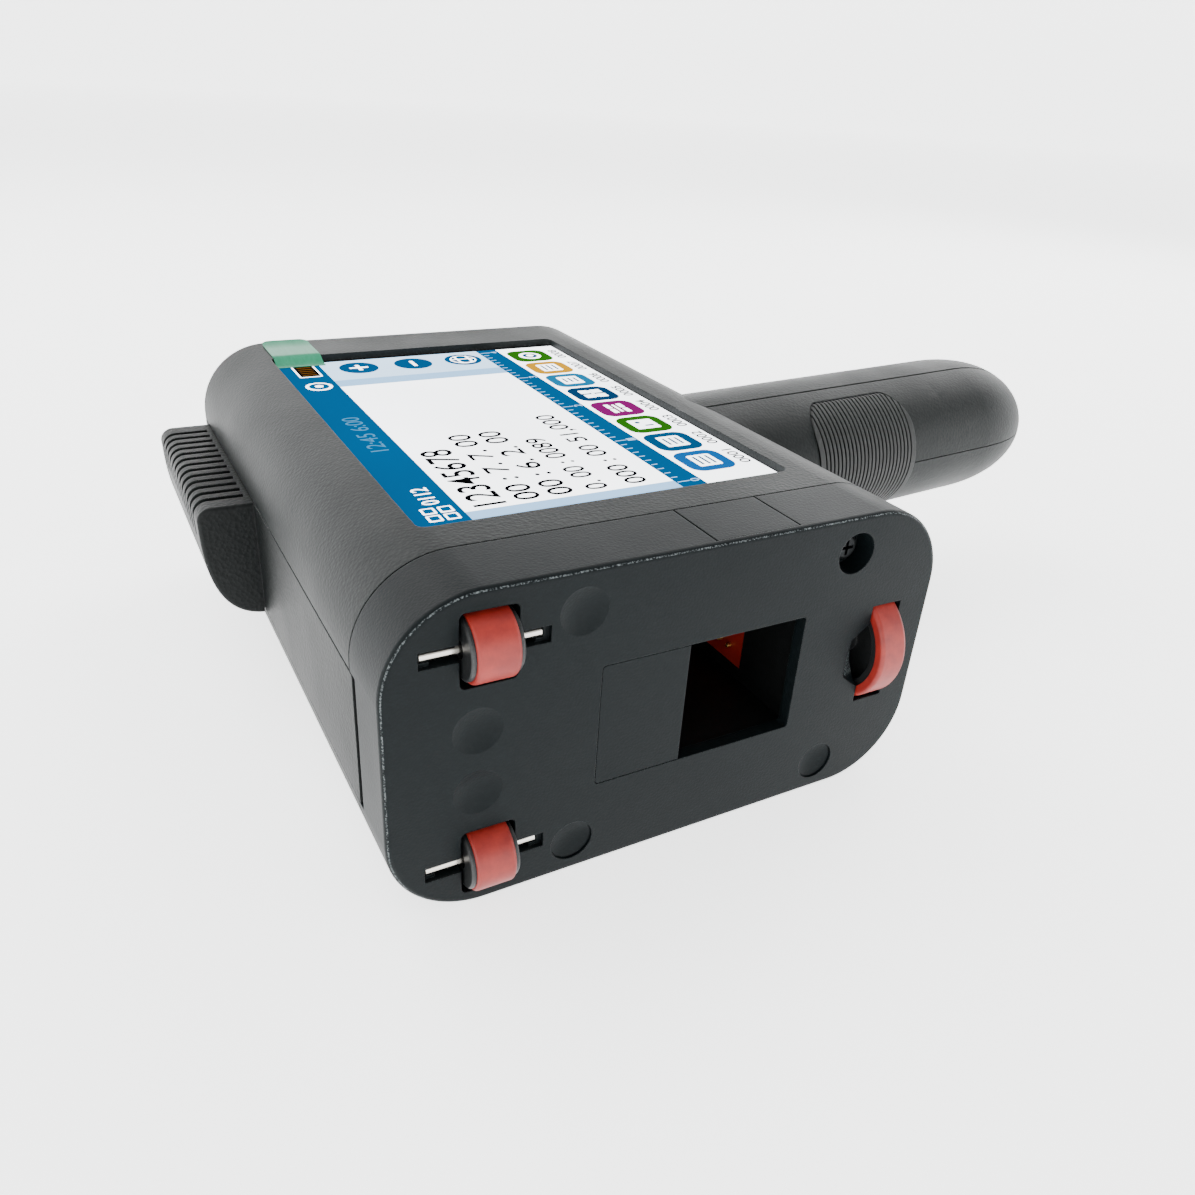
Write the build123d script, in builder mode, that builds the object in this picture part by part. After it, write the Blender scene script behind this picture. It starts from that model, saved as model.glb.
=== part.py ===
from build123d import *

import math
import os

# A handheld thermal inkjet date coder, lying on its back: print face to -Y, touch screen up, handle to +X.

os.makedirs("parts", exist_ok=True)

# Driving dimensions, millimetres. The origin is the centre of the flat back that the coder rests on.
body_width = 125.0
body_depth = 168.0
body_height = 68.6
corner_radius = 19.0
wall = 2.5
rear_rounding = 4.0
parting_height = 47.8

front = -body_depth / 2
mid_height = body_height / 2
cap_depth = 16.4
seam = 0.4
shell_start = cap_depth + seam
plate_thickness = 3.0

handle_angle = 5.0
handle_length = 121.5
handle_half_height = 20.4
handle_half_depth = 23.5
handle_dome = 34.0
handle_root_depth = 80.4
handle_wall = 2.6

window_width = 47.8
window_left = -20.4
window_right = window_left + window_width
window_open_left = -0.75
window_bottom = 20.3
window_top = 47.8

roller_x = -42.8
roller_radius = 6.75
roller_axis_depth = 1.8
roller_heights = (33.9 - 23.4, 33.9 + 23.4)
roller_pin_radius = 1.0
running_gap = 0.05

wheel_x = 50.0
wheel_height = 34.0
wheel_radius = 14.0
wheel_axis_depth = 8.7
wheel_width = 7.0
axle_radius = 1.5

screen_left, screen_right = -45.8, 39.8
screen_near, screen_far = 26.2, 147.5
screen_recess = 1.8
glass_thickness = 1.8
panel_thickness = 4.5
screen_top = body_height - wall
glass_top = body_height - screen_recess
panel_top = glass_top - glass_thickness
panel_bottom = panel_top - panel_thickness

cover_front = 15.6
cover_bottom = 18.6
cover_top = parting_height - 0.4
flange_thickness = 1.4
grip_near, grip_far = 98.0, 160.0
grip_reach = -75.7

cap_screw_spots = ((37.9, 60.3), (-24.8, 7.6), (37.9, 7.6))
shell_screw_spots = ((51.0, 36.0), (51.0, 120.0), (51.0, 156.0), (-51.0, 100.0), (-51.0, 156.0))


def front_plane(depth):
    """A plane parallel to the print face, that far behind it; sketch x is X and sketch y is Z."""
    return Plane(origin=(0, front + depth, 0), x_dir=(1, 0, 0), z_dir=(0, -1, 0))


def level(height):
    """A horizontal plane whose sketch y counts from the print face."""
    return Plane(origin=(0, front, height), x_dir=(1, 0, 0), z_dir=(0, 0, 1))


def side_plane(x):
    """A plane across X that faces +X; sketch x counts from the print face and sketch y is Z."""
    return Plane(origin=(x, front, 0), x_dir=(0, 1, 0), z_dir=(1, 0, 0))


def block(x, depth, height):
    """A box between two X values, two depths behind the print face and two heights."""
    with BuildPart() as made:
        with BuildSketch(level(height[0])):
            with Locations(((x[0] + x[1]) / 2, (depth[0] + depth[1]) / 2)):
                Rectangle(x[1] - x[0], depth[1] - depth[0])
        extrude(amount=height[1] - height[0])
    return made.part


def body_form(inset, start, end, rounding=0.0):
    """The body's outer form, or an inset copy of it, between two depths."""
    with BuildPart() as made:
        with BuildSketch(front_plane(start)):
            with Locations((0, mid_height)):
                RectangleRounded(body_width - 2 * inset, body_height - 2 * inset, corner_radius - inset)
        extrude(amount=start - end)
        if rounding:
            fillet(made.edges().group_by(Axis.Y)[-1], rounding)
    return made.part


handle_frame = Plane(
    origin=(body_width / 2, front + handle_root_depth, parting_height),
    x_dir=(math.cos(math.radians(handle_angle)), math.sin(math.radians(handle_angle)), 0),
    z_dir=(0, 0, 1),
)


def handle_form(inset, start):
    """The handle as an oval bar with a blunt domed end, along handle_frame's x from start."""
    radius = handle_half_height - inset
    tip = handle_length - inset
    shoulder = handle_length - handle_dome
    with BuildPart() as made:
        with BuildSketch(Plane.XZ):
            with BuildLine():
                Polyline((tip, 0), (start, 0), (start, radius), (shoulder, radius))
                Bezier((shoulder, radius), (shoulder + 7, radius), (tip, 0.95 * radius), (tip, 0))
            make_face()
        revolve(axis=Axis.X)
        scale(by=(1, (handle_half_depth - inset) / radius, 1), about=(0, 0, 0))
    return handle_frame.location * made.part


def finger_plane(along, out):
    """A plane facing the finger side of the handle: sketch x runs along the handle, sketch y is up."""
    turn = math.radians(handle_angle)
    facing = Vector(math.sin(turn), -math.cos(turn), 0)
    origin = handle_frame.origin + handle_frame.x_dir * along + facing * out
    return Plane(origin=origin, x_dir=handle_frame.x_dir, z_dir=facing)


def thumb_plane(along, out):
    """A plane facing the thumb side of the handle, away from the print face; sketch y is up."""
    turn = math.radians(handle_angle)
    facing = Vector(-math.sin(turn), math.cos(turn), 0)
    origin = handle_frame.origin + handle_frame.x_dir * along + facing * out
    return Plane(origin=origin, x_dir=handle_frame.x_dir * -1, z_dir=facing)


def rod(plane, radius, length, spots=((0, 0),)):
    """Round bars that start on the plane at the given spots and run along its normal."""
    with BuildPart() as made:
        with BuildSketch(plane):
            with Locations(*spots):
                Circle(radius)
        extrude(amount=length)
    return made.part


def along_y(x, height, radius, start, end):
    """A round bar along Y between two depths."""
    return rod(front_plane(end), radius, end - start, ((x, height),))


def along_x(depth, height, radius, start, end):
    """A round bar along X between two X values."""
    return rod(side_plane(start), radius, end - start, ((depth, height),))


def cross_screw(head_radius, head_height, shank_radius, shank_length):
    """A pan-head screw along Z: head above the origin, shank below it, with a cross recess."""
    with BuildPart() as made:
        Cylinder(head_radius, head_height, align=(Align.CENTER, Align.CENTER, Align.MIN))
        fillet(made.edges().group_by(Axis.Z)[-1], head_height * 0.35)
        Cylinder(shank_radius, shank_length, align=(Align.CENTER, Align.CENTER, Align.MAX))
        with BuildSketch(Plane.XY.offset(head_height)):
            Rectangle(head_radius * 1.2, head_radius * 0.26)
            Rectangle(head_radius * 0.26, head_radius * 1.2)
        extrude(amount=-head_height * 0.6, mode=Mode.SUBTRACT)
    return made.part


def set_of(piece, planes):
    """Copies of one piece, one on each plane, as separate solids of one node."""
    with BuildPart() as made:
        for plane in planes:
            add(plane.location * piece)
    return made.part


# ---- Cavities and forms that several pieces share ----

shell_form = body_form(0, shell_start, body_depth, rear_rounding)
shell_cavity = body_form(wall, shell_start - 1, body_depth - wall, rear_rounding - wall / 2)
handle_outer = handle_form(0, -16)
handle_cavity = handle_form(handle_wall, -12)

# The groove that runs round the handle in an upright plane, a little to the finger side of its middle.
groove_offset = 5.5
groove_width = 0.6
groove_depth = 0.5
with BuildPart() as handle_groove:
    with BuildSketch(finger_plane(0, groove_offset)):
        with Locations((handle_length / 2 - 4, 0)):
            Rectangle(handle_length + 24, 3 * handle_half_height)
    extrude(amount=groove_width / 2, both=True)
    add(handle_form(groove_depth, -30), mode=Mode.SUBTRACT)
    add(shell_form, mode=Mode.SUBTRACT)

# The groove along the parting line, all round the body and the handle.
parting_groove_height = 0.3
with BuildPart() as parting_groove:
    add(block((-70, 200), (0, body_depth + 10),
              (parting_height - parting_groove_height / 2, parting_height + parting_groove_height / 2)))
    add(body_form(groove_depth, -5, body_depth - groove_depth, rear_rounding), mode=Mode.SUBTRACT)
    add(handle_form(groove_depth, -30), mode=Mode.SUBTRACT)

# Grip zone: two rubber inlays on the finger side, one in each shell, with ribs across the handle.
grip_pad_start, grip_pad_end = 15.0, 54.0
grip_pad_depth = 1.0
grip_edge_offset = groove_offset + 3.6
with BuildPart() as grip_zone:
    with BuildSketch(finger_plane(0, grip_edge_offset)):
        with Locations(((grip_pad_start + grip_pad_end) / 2, 0)):
            RectangleRounded(grip_pad_end - grip_pad_start, 36.4, 7.0)
    extrude(amount=handle_half_depth)
grip_bed = grip_zone.part - handle_form(grip_pad_depth, -12)

# Trigger opening on the thumb side.
trigger_along = 20.0
trigger_length, trigger_width = 22.0, 14.0
trigger_gap = 0.4
with BuildPart() as trigger_opening:
    with BuildSketch(thumb_plane(trigger_along, 10)):
        RectangleRounded(trigger_length + 2 * trigger_gap, trigger_width + 2 * trigger_gap, 5.0)
    extrude(amount=20)

# Port recess and openings in the rear wall.
port_height = 26.0
usb_x, jack_x, power_x = -24.0, 0.0, 22.0
usb_size = (13.2, 5.9)
jack_radius = 3.9
power_radius = 5.0
with BuildPart() as port_cuts:
    with BuildSketch(front_plane(body_depth)):
        with Locations((0, port_height)):
            RectangleRounded(76, 22, 5)
    extrude(amount=0.9)
    with BuildSketch(front_plane(body_depth)):
        with Locations((usb_x, port_height)):
            RectangleRounded(usb_size[0] + 0.5, usb_size[1] + 0.5, 0.6)
        with Locations((jack_x, port_height)):
            Circle(jack_radius + 0.2)
        with Locations((power_x, port_height)):
            Circle(power_radius + 0.3)
    extrude(amount=8)

# Cut-out in the left wall that the sliding cartridge cover fills, and the slot for its flange.
cover_cutout = block((-70, -59.9), (shell_start - 2, body_depth + 2), (cover_bottom - 0.2, parting_height))
flange_slot = block((-60.2, -58.1), (body_depth - 12, body_depth + 2), (16.6, 50.2))

# ---- Shells ----

with BuildPart() as whole_shell:
    add(shell_form)
    add(handle_outer)
    add(handle_groove.part, mode=Mode.SUBTRACT)
    add(grip_bed, mode=Mode.SUBTRACT)
    add(shell_cavity, mode=Mode.SUBTRACT)
    add(handle_cavity, mode=Mode.SUBTRACT)
    add(trigger_opening.part, mode=Mode.SUBTRACT)
    add(flange_slot, mode=Mode.SUBTRACT)
    add(parting_groove.part, mode=Mode.SUBTRACT)

upper_boss_radius = 3.5
display_posts = ((-38.0, 20.8), (26.0, 20.8), (-36.0, 152.4), (30.0, 152.4))
with BuildPart() as upper_shell:
    add(whole_shell.part)
    split(bisect_by=Plane.XY.offset(parting_height), keep=Keep.TOP)
    with BuildSketch(level(body_height + 1)):
        with Locations(((screen_left + screen_right) / 2, (screen_near + screen_far) / 2)):
            RectangleRounded(screen_right - screen_left, screen_far - screen_near, 2.2)
    extrude(amount=-wall - 2, mode=Mode.SUBTRACT)
    with BuildSketch(level(parting_height)):
        with Locations(*shell_screw_spots):
            Circle(upper_boss_radius)
    extrude(amount=16.4)
    for x, height in cap_screw_spots[:1]:
        add(along_y(x, height, 4.0, shell_start, 23.4))
        add(block((x - 1.5, x + 1.5), (shell_start, 23.4), (height, screen_top + 0.5)))
        add(along_y(x, height, 1.55, shell_start - 1, 22.8), mode=Mode.SUBTRACT)
    with BuildSketch(level(parting_height - 1)):
        with Locations(*shell_screw_spots):
            Circle(1.55)
    extrude(amount=12, mode=Mode.SUBTRACT)
    with BuildSketch(level(panel_bottom)):
        with Locations(*display_posts):
            Circle(2.6)
            Circle(1.05, mode=Mode.SUBTRACT)
    extrude(amount=screen_top - panel_bottom + 0.5)
upper_shell.part.label = "upper_shell"
export_step(upper_shell.part, "parts/upper_shell.step")

boss_radius = 4.4
screw_seat_height = 38.0
board_posts = ((-40, 84), (40, 108), (-40, 150), (40, 150))
# Wall beside the cover and bosses for the shell screws, kept inside the rounded corners.
with BuildPart() as lower_supports:
    add(block((-58.0, -56.2), (79.0, body_depth - wall), (wall - 0.5, parting_height)))
    with BuildSketch(level(wall - 0.5)):
        with Locations(*shell_screw_spots):
            Circle(boss_radius)
    extrude(amount=parting_height - wall + 0.5)
    add(body_form(0.5, shell_start, body_depth - 0.5, rear_rounding), mode=Mode.INTERSECT)

with BuildPart() as lower_shell:
    add(whole_shell.part)
    split(bisect_by=Plane.XY.offset(parting_height), keep=Keep.BOTTOM)
    add(lower_supports.part)
    for x, height in cap_screw_spots[1:]:
        add(along_y(x, height, 4.0, shell_start, 28.0))
        add(block((x - 1.5, x + 1.5), (shell_start, 28.0), (wall - 0.5, height)))
        add(along_y(x, height, 1.55, shell_start - 1, 26.0), mode=Mode.SUBTRACT)
    with BuildSketch(level(-1)):
        with Locations(*shell_screw_spots):
            Circle(3.1)
    extrude(amount=screw_seat_height + 1, mode=Mode.SUBTRACT)
    with BuildSketch(level(screw_seat_height - 1)):
        with Locations(*shell_screw_spots):
            Circle(1.6)
    extrude(amount=12, mode=Mode.SUBTRACT)
    # Four posts for the main board, and two pairs of ribs for the port board.
    with BuildSketch(level(wall - 0.5)):
        with Locations(*board_posts):
            Circle(3.0)
    extrude(amount=39.0)
    for depth in (148.5, 159.5):
        add(block((-30, -27), (depth - 1.5, depth + 1.5), (wall - 0.5, 20.4)))
        add(block((10, 13), (depth - 1.5, depth + 1.5), (wall - 0.5, 20.4)))
    with BuildSketch(level(30.0)):
        with Locations(*board_posts):
            Circle(1.25)
    extrude(amount=12.0, mode=Mode.SUBTRACT)
    add(cover_cutout, mode=Mode.SUBTRACT)
    add(flange_slot, mode=Mode.SUBTRACT)
    add(port_cuts.part, mode=Mode.SUBTRACT)
lower_shell.part.label = "lower_shell"
export_step(lower_shell.part, "parts/lower_shell.step")

# ---- Front cap, its snap tab, plugs and screws ----

window_middle = ((window_left + window_right) / 2, (window_bottom + window_top) / 2)
tab_left, tab_right = 3.3, 22.5
tab_front, tab_back = 1.3, cap_depth
tab_slit, tab_front_gap = 0.45, 0.05
pocket_half_width, pocket_half_height = 5.5, 7.45
pocket_back = 9.6
pin_left, pin_right = -55.2, -32.4
recess_radius = 4.6
screw_head_depth = 5.2
scoop_left = 41.2
dish_radius, dish_sphere = 4.9, 10.6
dish_centre = math.sqrt(dish_sphere**2 - dish_radius**2)
dish_spots = ((-44.9, 26.9), (-44.9, 40.5), (-24.8, 60.3))

with BuildPart() as front_cap:
    add(body_form(0, 0, cap_depth))
    fillet(front_cap.edges().group_by(Axis.Y)[0], 1.1)
    add(body_form(wall, plate_thickness, cap_depth + 1), mode=Mode.SUBTRACT)
    # Closed pockets behind the roller holes, and tubes for the cap screws.
    for height in roller_heights:
        add(block((-57.2, -30.2), (plate_thickness - 1, pocket_back + 1.4), (height - 8.2, height + 8.2)))
    for x, height in cap_screw_spots:
        add(along_y(x, height, recess_radius + 1.4, plate_thickness - 1, cap_depth))
    add(body_form(0, 0, cap_depth), mode=Mode.INTERSECT)
    # Nozzle window.
    with BuildSketch(front_plane(-1)):
        with Locations(window_middle):
            RectangleRounded(window_width, window_top - window_bottom, 0.8)
    extrude(amount=-plate_thickness - 2, mode=Mode.SUBTRACT)
    # Roller holes, the grooves that hold their pins, and the round bottoms of those grooves.
    for height in roller_heights:
        with BuildSketch(front_plane(pocket_back)):
            with Locations((roller_x, height)):
                RectangleRounded(2 * pocket_half_width, 2 * pocket_half_height, 1.2)
        extrude(amount=pocket_back + 1, mode=Mode.SUBTRACT)
        add(block((pin_left - 0.3, pin_right + 1.2), (-1, 1.1), (height - 1.7, height + 1.7)),
            mode=Mode.SUBTRACT)
        add(block((pin_left + 2.0, pin_right - 1.4), (-1, 4.2), (height - 1.7, height + 1.7)),
            mode=Mode.SUBTRACT)
        groove = (height - roller_pin_radius - 0.02, height + roller_pin_radius + 0.02)
        add(block((pin_left - 0.1, pin_right + 0.1), (-1, roller_axis_depth), groove), mode=Mode.SUBTRACT)
        add(along_x(roller_axis_depth, height, roller_pin_radius + 0.02, pin_left - 0.1, pin_right + 0.1),
            mode=Mode.SUBTRACT)
    # Encoder wheel slot, and the scoop beside it with its slit.
    with BuildSketch(front_plane(-1)):
        with Locations((wheel_x, wheel_height)):
            Rectangle(wheel_width + 1.0, 24.4)
    extrude(amount=-plate_thickness - 6, mode=Mode.SUBTRACT)
    slot_half = wheel_width / 2 + 0.5
    wheel_room = wheel_radius + 0.6
    add(along_x(wheel_axis_depth, wheel_height, wheel_room, wheel_x - slot_half, wheel_x + slot_half),
        mode=Mode.SUBTRACT)
    add(block((scoop_left - 1.5, wheel_x - 4.1), (plate_thickness - 0.5, 5.6), (24.5, 43.5)))
    with BuildSketch(level(wheel_height)):
        with BuildLine():
            Polyline((scoop_left, -6), (wheel_x - 3, -6), (wheel_x - 3, 4.6), (scoop_left, 1.4), close=True)
        make_face()
    revolve(axis=Axis((0, front - 6, wheel_height), (1, 0, 0)), mode=Mode.SUBTRACT)
    with BuildSketch(front_plane(-1)):
        with Locations((scoop_left + 0.8, wheel_height)):
            Ellipse(0.8, 4.4)
    extrude(amount=-8, mode=Mode.SUBTRACT)
    # Screw recesses and three shallow dishes.
    for x, height in cap_screw_spots:
        add(along_y(x, height, recess_radius, -1, screw_head_depth), mode=Mode.SUBTRACT)
        add(along_y(x, height, 1.6, screw_head_depth - 1, cap_depth + 1), mode=Mode.SUBTRACT)
    with Locations(*[(x, front - dish_centre, height) for x, height in dish_spots]):
        Sphere(dish_sphere, mode=Mode.SUBTRACT)
    # Place of the snap tab, and the gap in front of the cartridge cover.
    add(block((tab_left - tab_slit, tab_right + tab_slit), (tab_front - tab_front_gap, cap_depth + 1),
              (screen_top - 6, body_height + 1)), mode=Mode.SUBTRACT)
    add(block((-64, -59.9), (13.5, cap_depth + 1), (cover_bottom - 0.2, parting_height)), mode=Mode.SUBTRACT)
front_cap.part.label = "front_cap"
export_step(front_cap.part, "parts/front_cap.step")

with BuildPart() as release_tab:
    add(block((tab_left, tab_right), (tab_front, tab_back), (screen_top + 0.1, body_height)))
    add(block((8.0, 18.0), (tab_back - 1.5, tab_back + 2.6), (screen_top - 2.4, screen_top - 0.5)))
    add(block((8.0, 18.0), (tab_back - 3.5, tab_back - 1.5), (screen_top - 2.4, screen_top + 0.1)))
release_tab.part.label = "release_tab"
export_step(release_tab.part, "parts/release_tab.step")

blank_left, blank_right = window_left + 0.15, window_open_left - 0.15
blank_bottom, blank_top = window_bottom + 0.15, window_top - 0.15
with BuildPart() as window_blank:
    add(block((blank_left, blank_right), (0.05, 4.4), (blank_bottom, blank_top)))
    fillet(window_blank.edges().filter_by(Axis.Y).group_by(Axis.X)[0], 0.8)
    add(block((window_left - 1.6, blank_left + 2), (plate_thickness + 0.05, 4.4),
              (blank_bottom + 2, blank_top - 2)))
window_blank.part.label = "window_blank"
export_step(window_blank.part, "parts/window_blank.step")

plug_depth = 2.4
with BuildPart() as screw_plugs:
    for x, height in cap_screw_spots[1:]:
        add(along_y(x, height, recess_radius - 0.05, 0.15, plug_depth))
    with Locations(*[(x, front - dish_centre + 0.4, height) for x, height in cap_screw_spots[1:]]):
        Sphere(dish_sphere, mode=Mode.SUBTRACT)
screw_plugs.part.label = "screw_plugs"
export_step(screw_plugs.part, "parts/screw_plugs.step")

cap_screw_planes = [
    Plane(origin=(x, front + screw_head_depth, height), x_dir=(1, 0, 0), z_dir=(0, -1, 0))
    for x, height in cap_screw_spots
]
with BuildPart() as cap_screws:
    add(set_of(cross_screw(2.8, 2.2, 1.5, 16.0), cap_screw_planes))
cap_screws.part.label = "cap_screws"
export_step(cap_screws.part, "parts/cap_screws.step")

shell_screw_planes = [
    Plane(origin=(x, front + depth, screw_seat_height), x_dir=(1, 0, 0), z_dir=(0, 0, -1))
    for x, depth in shell_screw_spots
]
with BuildPart() as shell_screws:
    add(set_of(cross_screw(2.9, 2.2, 1.5, 16.0), shell_screw_planes))
shell_screws.part.label = "shell_screws"
export_step(shell_screws.part, "parts/shell_screws.step")

# ---- Guide rollers ----

with BuildPart() as roller_pins:
    for height in roller_heights:
        add(along_x(roller_axis_depth, height, roller_pin_radius, pin_left, pin_right))
    chamfer(roller_pins.edges().filter_by(GeomType.CIRCLE), 0.25)
roller_pins.part.label = "roller_pins"
export_step(roller_pins.part, "parts/roller_pins.step")

roller_core = 5.2
hub_half = 4.9
tyre_half = 4.0


def roller_hub_part(height):
    """A roller's hub: a core with a raised rim at each end, and a running bore."""
    with BuildPart() as made:
        add(along_x(roller_axis_depth, height, roller_core, roller_x - hub_half, roller_x + hub_half))
        for end in (-1, 1):
            near, far = sorted((roller_x + end * tyre_half, roller_x + end * hub_half))
            add(along_x(roller_axis_depth, height, roller_core + 0.8, near, far))
        chamfer(made.edges().filter_by(GeomType.CIRCLE).group_by(Axis.X)[0].sort_by(SortBy.RADIUS)[-1], 0.3)
        chamfer(made.edges().filter_by(GeomType.CIRCLE).group_by(Axis.X)[-1].sort_by(SortBy.RADIUS)[-1], 0.3)
        add(along_x(roller_axis_depth, height, 2.0, roller_x - hub_half - 1, roller_x - hub_half + 0.8),
            mode=Mode.SUBTRACT)
        add(along_x(roller_axis_depth, height, roller_pin_radius + running_gap, roller_x - 9, roller_x + 9),
            mode=Mode.SUBTRACT)
    return made.part


def tyre_part(depth, height, radius, core, x, half, edge):
    """A rubber ring round a hub, with rounded shoulders."""
    with BuildPart() as made:
        add(along_x(depth, height, radius, x - half, x + half))
        fillet(made.edges().filter_by(GeomType.CIRCLE), edge)
        add(along_x(depth, height, core, x - half - 1, x + half + 1), mode=Mode.SUBTRACT)
    return made.part


for name, height in zip(("lower", "upper"), roller_heights):
    with BuildPart() as roller_hub:
        add(roller_hub_part(height))
    roller_hub.part.label = f"roller_hub_{name}"
    export_step(roller_hub.part, f"parts/roller_hub_{name}.step")
    with BuildPart() as roller_tyre:
        add(tyre_part(roller_axis_depth, height, roller_radius, roller_core, roller_x, tyre_half, 0.7))
    roller_tyre.part.label = f"roller_tyre_{name}"
    export_step(roller_tyre.part, f"parts/roller_tyre_{name}.step")

# ---- Encoder wheel ----

wheel_core = 11.8
wheel_half = wheel_width / 2
axle_left, axle_right = 39.7, 57.4
arm_lefts = (43.0, 55.0)
arm_thickness = 2.0


def hub_hollow(near, far):
    """The ring-shaped hollow in one face of the encoder hub."""
    with BuildPart() as made:
        add(along_x(wheel_axis_depth, wheel_height, wheel_core - 1.6, near, far))
        add(along_x(wheel_axis_depth, wheel_height, 3.6, near - 1, far + 1), mode=Mode.SUBTRACT)
    return made.part


with BuildPart() as encoder_hub:
    hub_reach = wheel_half - 0.4
    add(along_x(wheel_axis_depth, wheel_height, wheel_core, wheel_x - hub_reach, wheel_x + hub_reach))
    for near, far in ((wheel_x - 4.0, wheel_x - 1.2), (wheel_x + 1.2, wheel_x + 4.0)):
        add(hub_hollow(near, far), mode=Mode.SUBTRACT)
    add(along_x(wheel_axis_depth, wheel_height, axle_radius, wheel_x - 9, wheel_x + 9), mode=Mode.SUBTRACT)
encoder_hub.part.label = "encoder_hub"
export_step(encoder_hub.part, "parts/encoder_hub.step")

with BuildPart() as encoder_tyre:
    add(tyre_part(wheel_axis_depth, wheel_height, wheel_radius, wheel_core, wheel_x, wheel_half, 0.9))
encoder_tyre.part.label = "encoder_tyre"
export_step(encoder_tyre.part, "parts/encoder_tyre.step")

with BuildPart() as encoder_axle:
    add(along_x(wheel_axis_depth, wheel_height, axle_radius, axle_left, axle_right))
    chamfer(encoder_axle.edges().filter_by(GeomType.CIRCLE), 0.3)
encoder_axle.part.label = "encoder_axle"
export_step(encoder_axle.part, "parts/encoder_axle.step")

with BuildPart() as encoder_magnet:
    add(along_x(wheel_axis_depth, wheel_height, 2.8, axle_left, axle_left + 2.6))
    add(along_x(wheel_axis_depth, wheel_height, axle_radius, axle_left - 1, axle_left + 4),
        mode=Mode.SUBTRACT)
encoder_magnet.part.label = "encoder_magnet"
export_step(encoder_magnet.part, "parts/encoder_magnet.step")

with BuildPart() as encoder_bracket:
    for left in arm_lefts:
        add(block((left, left + arm_thickness), (6.0, 25.6), (wheel_height - 5, wheel_height + 5)))
        fillet(encoder_bracket.edges().filter_by(Axis.X).group_by(Axis.Y)[0], 3.5)
    add(block((arm_lefts[0], arm_lefts[1] + arm_thickness), (23.6, 25.6),
              (wheel_height - 9, wheel_height + 9)))
    add(block((42.5, 46.5), (23.6, 25.6), (wall + 0.4, wheel_height)))
    add(along_x(wheel_axis_depth, wheel_height, axle_radius + running_gap, 40, 60), mode=Mode.SUBTRACT)
encoder_bracket.part.label = "encoder_bracket"
export_step(encoder_bracket.part, "parts/encoder_bracket.step")

with BuildPart() as encoder_sensor:
    add(block((36.95, 38.2), (6.2, 20.0), (wheel_height - 7, wheel_height + 7)))
    add(block((38.2, 39.2), (wheel_axis_depth - 2.4, wheel_axis_depth + 2.4),
              (wheel_height - 2.4, wheel_height + 2.4)))
encoder_sensor.part.label = "encoder_sensor"
export_step(encoder_sensor.part, "parts/encoder_sensor.step")

# ---- Cartridge cradle, contact board, pins and ribbon ----

cradle_wall = 1.8
cradle_left, cradle_right = -56.0, 28.6
cradle_bottom, cradle_top = 20.0, 48.2
cradle_front, cradle_back = 3.2, 73.0
contact_depths, contact_heights = (20.0, 54.0), (23.0, 46.0)
with BuildPart() as cartridge_cradle:
    add(block((cradle_left, cradle_right + cradle_wall), (cradle_front, cradle_back + cradle_wall),
              (cradle_bottom - cradle_wall, cradle_top + cradle_wall)))
    add(block((cradle_left - 1.6, cradle_left), (12.8, 77.5), (17.2, 49.8)))
    add(block((cradle_left - 2, cradle_right), (cradle_front - 1, cradle_back), (cradle_bottom, cradle_top)),
        mode=Mode.SUBTRACT)
    add(block((cradle_left - 2, -28.0), (cradle_front - 1, 12.8), (10, 60)), mode=Mode.SUBTRACT)
    add(block((cradle_right - 1, cradle_right + 4), contact_depths, contact_heights), mode=Mode.SUBTRACT)
    # Guide ribs for the cartridge on the floor of the bay.
    for depth in (30.0, 52.0):
        add(block((-50, 20), (depth, depth + 1.6), (cradle_bottom - 0.2, cradle_bottom + 0.25)))
cartridge_cradle.part.label = "cartridge_cradle"
export_step(cartridge_cradle.part, "parts/cartridge_cradle.step")

pin_columns, pin_rows, pin_pitch = 8, 5, 3.6
pin_middle = (sum(contact_depths) / 2, sum(contact_heights) / 2)
block_left, block_right = cradle_right + cradle_wall, 36.4
board_thickness = 1.6


def pin_grid(start, radius, length):
    """Round bars on the contact grid, from an X value, along X."""
    with BuildPart() as made:
        with BuildSketch(side_plane(start)):
            with Locations(pin_middle):
                with GridLocations(pin_pitch, pin_pitch, pin_columns, pin_rows):
                    Circle(radius)
        extrude(amount=length)
    return made.part


with BuildPart() as contact_board:
    add(block((cradle_right, cradle_right + board_thickness),
              (contact_depths[0] + 0.15, contact_depths[1] - 0.15),
              (contact_heights[0] + 0.15, contact_heights[1] - 0.15)))
    add(pin_grid(cradle_right - 1, 0.56, 4), mode=Mode.SUBTRACT)
contact_board.part.label = "contact_board"
export_step(contact_board.part, "parts/contact_board.step")

with BuildPart() as pin_block:
    add(block((block_left, block_right), (contact_depths[0] - 2, contact_depths[1] + 2), (21.0, 47.6)))
    add(pin_grid(block_left - 1, 0.56, block_right - block_left + 0.6), mode=Mode.SUBTRACT)
pin_block.part.label = "pin_block"
export_step(pin_block.part, "parts/pin_block.step")

with BuildPart() as contact_pins:
    add(pin_grid(cradle_right - 1.2, 0.5, 6.8))
    chamfer(contact_pins.edges().filter_by(GeomType.CIRCLE).group_by(Axis.X)[0], 0.2)
contact_pins.part.label = "contact_pins"
export_step(contact_pins.part, "parts/contact_pins.step")

with BuildPart() as ribbon_cable:
    add(block((block_right + 0.05, block_right + 0.35), (27.0, 79.8), (26.0, 40.8)))
ribbon_cable.part.label = "ribbon_cable"
export_step(ribbon_cable.part, "parts/ribbon_cable.step")

# ---- Sliding cartridge cover with its ribbed thumb grip ----

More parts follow.
